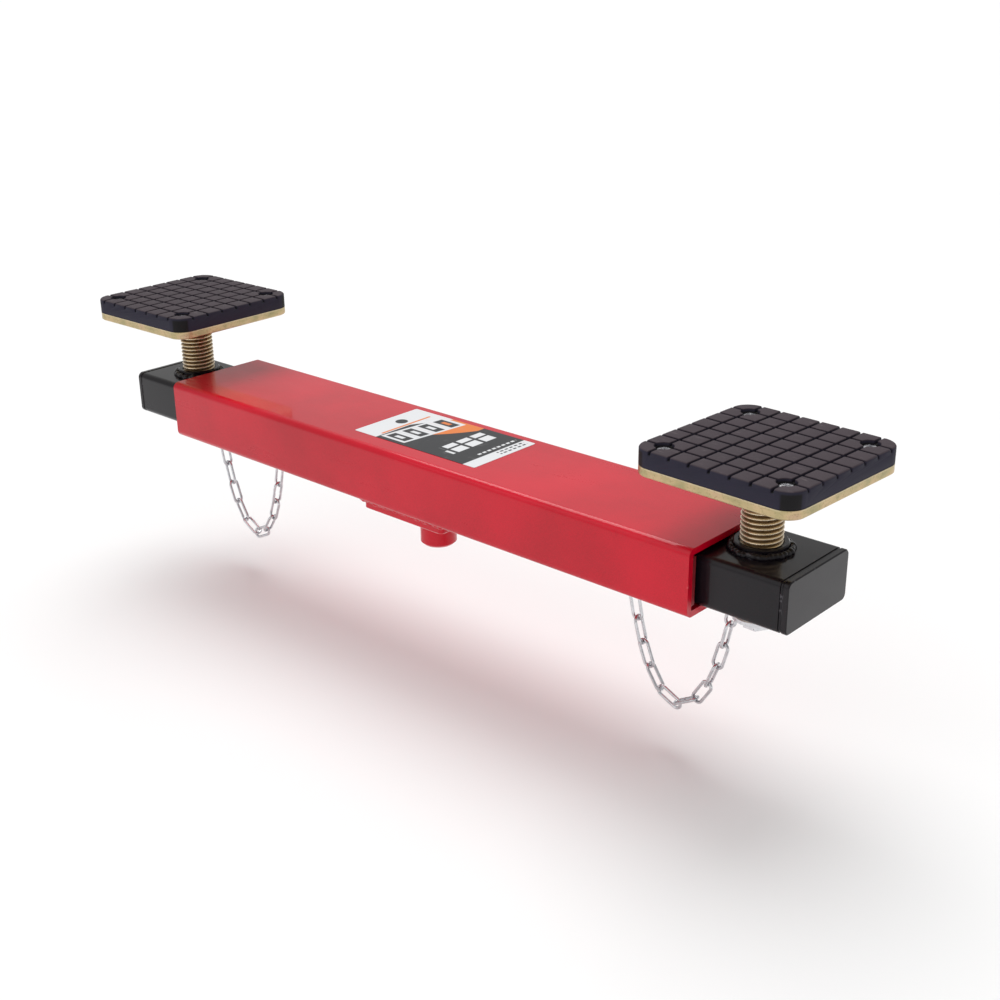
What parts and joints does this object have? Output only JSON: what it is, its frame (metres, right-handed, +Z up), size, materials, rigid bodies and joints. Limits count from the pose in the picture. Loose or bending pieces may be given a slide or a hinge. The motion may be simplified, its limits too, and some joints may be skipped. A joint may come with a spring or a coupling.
{
  "type": "floor jack cross beam",
  "caption": "Telescoping cross beam that drops onto a floor jack and lifts at two screw-adjusted rubber saddles, with chain-limited sliding arms.",
  "frame": {"origin": "on the jack post's axis, half way along its bearing length", "axes": "+X along the beam to the right-hand arm, +Y to the back, +Z up towards the saddles"},
  "size_m": [0.7501, 0.1314, 0.2272],
  "materials": {
    "red_enamel": "gloss enamel",
    "black_enamel": "gloss enamel",
    "yellow_zinc": "yellow zinc plate",
    "black_rubber": "matt",
    "bright_zinc": "bright zinc plate",
    "sticker_film": "printed film, no lettering"
  },
  "bodies": {
    "beam": {"outer_tube": "red_enamel", "guide_strips": "red_enamel", "base_plate": "red_enamel", "base_plate_weld": "red_enamel", "jack_post": "red_enamel", "jack_post_weld": "red_enamel", "sticker": "sticker_film", "beam_chain_eyes": "bright_zinc"},
    "arm_right": {"arm_tube_right": "black_enamel", "end_cap_right": "black_enamel", "end_cap_weld_right": "black_enamel", "threaded_bush_right": "black_enamel", "bush_weld_right": "black_enamel", "arm_chain_eye_right": "bright_zinc"},
    "washer_right": {"stop_washer_right": "bright_zinc"},
    "saddle_right": {"lift_screw_right": "yellow_zinc", "saddle_plate_right": "yellow_zinc", "saddle_weld_right": "yellow_zinc", "rubber_pad_right": "black_rubber", "pad_screws_right": "bright_zinc", "stop_bolt_right": "bright_zinc"},
    "link_right_01": {"chain_link_right_01": "bright_zinc"},
    "link_right_02": {"chain_link_right_02": "bright_zinc"},
    "link_right_03": {"chain_link_right_03": "bright_zinc"},
    "link_right_04": {"chain_link_right_04": "bright_zinc"},
    "link_right_05": {"chain_link_right_05": "bright_zinc"},
    "link_right_06": {"chain_link_right_06": "bright_zinc"},
    "link_right_07": {"chain_link_right_07": "bright_zinc"},
    "link_right_08": {"chain_link_right_08": "bright_zinc"},
    "link_right_09": {"chain_link_right_09": "bright_zinc"},
    "link_right_10": {"chain_link_right_10": "bright_zinc"},
    "link_right_11": {"chain_link_right_11": "bright_zinc"},
    "link_right_12": {"chain_link_right_12": "bright_zinc"},
    "arm_left": {"arm_tube_left": "black_enamel", "end_cap_left": "black_enamel", "end_cap_weld_left": "black_enamel", "threaded_bush_left": "black_enamel", "bush_weld_left": "black_enamel", "arm_chain_eye_left": "bright_zinc"},
    "washer_left": {"stop_washer_left": "bright_zinc"},
    "saddle_left": {"lift_screw_left": "yellow_zinc", "saddle_plate_left": "yellow_zinc", "saddle_weld_left": "yellow_zinc", "rubber_pad_left": "black_rubber", "pad_screws_left": "bright_zinc", "stop_bolt_left": "bright_zinc"},
    "link_left_01": {"chain_link_left_01": "bright_zinc"},
    "link_left_02": {"chain_link_left_02": "bright_zinc"},
    "link_left_03": {"chain_link_left_03": "bright_zinc"},
    "link_left_04": {"chain_link_left_04": "bright_zinc"},
    "link_left_05": {"chain_link_left_05": "bright_zinc"},
    "link_left_06": {"chain_link_left_06": "bright_zinc"},
    "link_left_07": {"chain_link_left_07": "bright_zinc"},
    "link_left_08": {"chain_link_left_08": "bright_zinc"},
    "link_left_09": {"chain_link_left_09": "bright_zinc"},
    "link_left_10": {"chain_link_left_10": "bright_zinc"},
    "link_left_11": {"chain_link_left_11": "bright_zinc"},
    "link_left_12": {"chain_link_left_12": "bright_zinc"}
  },
  "joints": [
    {"name": "arm_slide_right", "type": "slide", "parent": "beam", "child": "arm_right", "axis": [1, 0, 0], "range_m": [0, 0.106]},
    {"name": "saddle_lift_right", "type": "slide", "parent": "arm_right", "child": "washer_right", "axis": [0, 0, 1], "range_m": [-0.042, 0.0105]},
    {"name": "saddle_turn_right", "type": "hinge", "parent": "washer_right", "child": "saddle_right", "pos_m": [0.3065, 0, 0.077], "axis": [0, 0, 1], "range_deg": [-4321, 1081]},
    {"name": "link_pivot_right_01", "type": "hinge", "parent": "beam", "child": "link_right_01", "pos_m": [0.1957, 0.004, 0.01896], "axis": [0, -1, 0], "range_deg": [-0.5, 50.38]},
    {"name": "link_pivot_right_02", "type": "hinge", "parent": "link_right_01", "child": "link_right_02", "pos_m": [0.19946, 0.004, -0.00221], "axis": [0, -1, 0], "range_deg": [-1.26, 0.5]},
    {"name": "link_pivot_right_03", "type": "hinge", "parent": "link_right_02", "child": "link_right_03", "pos_m": [0.20291, 0.004, -0.01804], "axis": [0, -1, 0], "range_deg": [-3.13, 0.5]},
    {"name": "link_pivot_right_04", "type": "hinge", "parent": "link_right_03", "child": "link_right_04", "pos_m": [0.20872, 0.004, -0.03874], "axis": [0, -1, 0], "range_deg": [-5.92, 0.5]},
    {"name": "link_pivot_right_05", "type": "hinge", "parent": "link_right_04", "child": "link_right_05", "pos_m": [0.21467, 0.004, -0.05381], "axis": [0, -1, 0], "range_deg": [-11.78, 0.5]},
    {"name": "link_pivot_right_06", "type": "hinge", "parent": "link_right_05", "child": "link_right_06", "pos_m": [0.22659, 0.004, -0.07169], "axis": [0, -1, 0], "range_deg": [-11.24, 0.5]},
    {"name": "link_pivot_right_12", "type": "hinge", "parent": "arm_right", "child": "link_right_12", "pos_m": [0.2859, 0.004, 0.01896], "axis": [0, -1, 0], "range_deg": [-36.24, 0.5]},
    {"name": "link_pivot_right_11", "type": "hinge", "parent": "link_right_12", "child": "link_right_11", "pos_m": [0.28317, 0.004, 0.00335], "axis": [0, -1, 0], "range_deg": [-1.3, 0.5]},
    {"name": "link_pivot_right_10", "type": "hinge", "parent": "link_right_11", "child": "link_right_10", "pos_m": [0.27869, 0.004, -0.01768], "axis": [0, -1, 0], "range_deg": [-1.75, 0.5]},
    {"name": "link_pivot_right_09", "type": "hinge", "parent": "link_right_10", "child": "link_right_09", "pos_m": [0.27442, 0.004, -0.03331], "axis": [0, -1, 0], "range_deg": [-2.73, 0.5]},
    {"name": "link_pivot_right_08", "type": "hinge", "parent": "link_right_09", "child": "link_right_08", "pos_m": [0.26678, 0.004, -0.0534], "axis": [0, -1, 0], "range_deg": [-5.92, 0.5]},
    {"name": "link_pivot_right_07", "type": "hinge", "parent": "link_right_08", "child": "link_right_07", "pos_m": [0.25818, 0.004, -0.06713], "axis": [0, -1, 0], "range_deg": [-0.5, 10.64]},
    {"name": "arm_slide_left", "type": "slide", "parent": "beam", "child": "arm_left", "axis": [-1, 0, 0], "range_m": [-0.007, 0.099]},
    {"name": "saddle_lift_left", "type": "slide", "parent": "arm_left", "child": "washer_left", "axis": [0, 0, 1], "range_m": [-0.042, 0.0105]},
    {"name": "saddle_turn_left", "type": "hinge", "parent": "washer_left", "child": "saddle_left", "pos_m": [-0.3135, 0, 0.077], "axis": [0, 0, 1], "range_deg": [-4321, 1081]},
    {"name": "link_pivot_left_01", "type": "hinge", "parent": "beam", "child": "link_left_01", "pos_m": [-0.2047, 0.004, 0.01896], "axis": [0, 1, 0], "range_deg": [-3.5, 42.89]},
    {"name": "link_pivot_left_02", "type": "hinge", "parent": "link_left_01", "child": "link_left_02", "pos_m": [-0.20833, 0.004, -0.00223], "axis": [0, 1, 0], "range_deg": [-0.54, 1.02]},
    {"name": "link_pivot_left_03", "type": "hinge", "parent": "link_left_02", "child": "link_left_03", "pos_m": [-0.21166, 0.004, -0.01809], "axis": [0, 1, 0], "range_deg": [-1.24, 0.55]},
    {"name": "link_pivot_left_04", "type": "hinge", "parent": "link_left_03", "child": "link_left_04", "pos_m": [-0.21728, 0.004, -0.03884], "axis": [0, 1, 0], "range_deg": [-3.7, 0.73]},
    {"name": "link_pivot_left_05", "type": "hinge", "parent": "link_left_04", "child": "link_left_05", "pos_m": [-0.22304, 0.004, -0.05398], "axis": [0, 1, 0], "range_deg": [-9.8, 1.16]},
    {"name": "link_pivot_left_06", "type": "hinge", "parent": "link_left_05", "child": "link_left_06", "pos_m": [-0.23467, 0.004, -0.07206], "axis": [0, 1, 0], "range_deg": [-12.34, 1.34]},
    {"name": "link_pivot_left_12", "type": "hinge", "parent": "arm_left", "child": "link_left_12", "pos_m": [-0.2929, 0.004, 0.01896], "axis": [0, 1, 0], "range_deg": [-32.58, 2.77]},
    {"name": "link_pivot_left_11", "type": "hinge", "parent": "link_left_12", "child": "link_left_11", "pos_m": [-0.29026, 0.004, 0.00333], "axis": [0, 1, 0], "range_deg": [-1.31, 0.56]},
    {"name": "link_pivot_left_10", "type": "hinge", "parent": "link_left_11", "child": "link_left_10", "pos_m": [-0.28593, 0.004, -0.01773], "axis": [0, 1, 0], "range_deg": [-1.08, 0.54]},
    {"name": "link_pivot_left_09", "type": "hinge", "parent": "link_left_10", "child": "link_left_09", "pos_m": [-0.2818, 0.004, -0.03339], "axis": [0, 1, 0], "range_deg": [-1.73, 0.59]},
    {"name": "link_pivot_left_08", "type": "hinge", "parent": "link_left_09", "child": "link_left_08", "pos_m": [-0.27439, 0.004, -0.05357], "axis": [0, 1, 0], "range_deg": [-3.17, 0.69]},
    {"name": "link_pivot_left_07", "type": "hinge", "parent": "link_left_08", "child": "link_left_07", "pos_m": [-0.26601, 0.004, -0.06744], "axis": [0, 1, 0], "range_deg": [-0.62, 2.2]}
  ],
  "couplings": [
    {"joint": "saddle_turn_right", "follows": "saddle_lift_right", "rad_per_m": 1795.2},
    {"joint": "link_pivot_right_01", "follows": "arm_slide_right", "rad_per_m": 8.2125},
    {"joint": "link_pivot_right_02", "follows": "arm_slide_right", "rad_per_m": -0.12485},
    {"joint": "link_pivot_right_03", "follows": "arm_slide_right", "rad_per_m": -0.43305},
    {"joint": "link_pivot_right_04", "follows": "arm_slide_right", "rad_per_m": -0.89167},
    {"joint": "link_pivot_right_05", "follows": "arm_slide_right", "rad_per_m": -1.8573},
    {"joint": "link_pivot_right_06", "follows": "arm_slide_right", "rad_per_m": -1.7683},
    {"joint": "link_pivot_right_12", "follows": "arm_slide_right", "rad_per_m": -5.8844},
    {"joint": "link_pivot_right_11", "follows": "arm_slide_right", "rad_per_m": -0.1317},
    {"joint": "link_pivot_right_10", "follows": "arm_slide_right", "rad_per_m": -0.2053},
    {"joint": "link_pivot_right_09", "follows": "arm_slide_right", "rad_per_m": -0.36731},
    {"joint": "link_pivot_right_08", "follows": "arm_slide_right", "rad_per_m": -0.89249},
    {"joint": "link_pivot_right_07", "follows": "arm_slide_right", "rad_per_m": 1.6695},
    {"joint": "saddle_turn_left", "follows": "saddle_lift_left", "rad_per_m": 1795.2},
    {"joint": "link_pivot_left_01", "follows": "arm_slide_left", "rad_per_m": 7.4723},
    {"joint": "link_pivot_left_02", "follows": "arm_slide_left", "rad_per_m": 0.09183},
    {"joint": "link_pivot_left_03", "follows": "arm_slide_left", "rad_per_m": -0.13108},
    {"joint": "link_pivot_left_04", "follows": "arm_slide_left", "rad_per_m": -0.56351},
    {"joint": "link_pivot_left_05", "follows": "arm_slide_left", "rad_per_m": -1.639},
    {"joint": "link_pivot_left_06", "follows": "arm_slide_left", "rad_per_m": -2.0867},
    {"joint": "link_pivot_left_12", "follows": "arm_slide_left", "rad_per_m": -5.6552},
    {"joint": "link_pivot_left_11", "follows": "arm_slide_left", "rad_per_m": -0.14257},
    {"joint": "link_pivot_left_10", "follows": "arm_slide_left", "rad_per_m": -0.10307},
    {"joint": "link_pivot_left_09", "follows": "arm_slide_left", "rad_per_m": -0.21709},
    {"joint": "link_pivot_left_08", "follows": "arm_slide_left", "rad_per_m": -0.47063},
    {"joint": "link_pivot_left_07", "follows": "arm_slide_left", "rad_per_m": 0.29978}
  ]
}
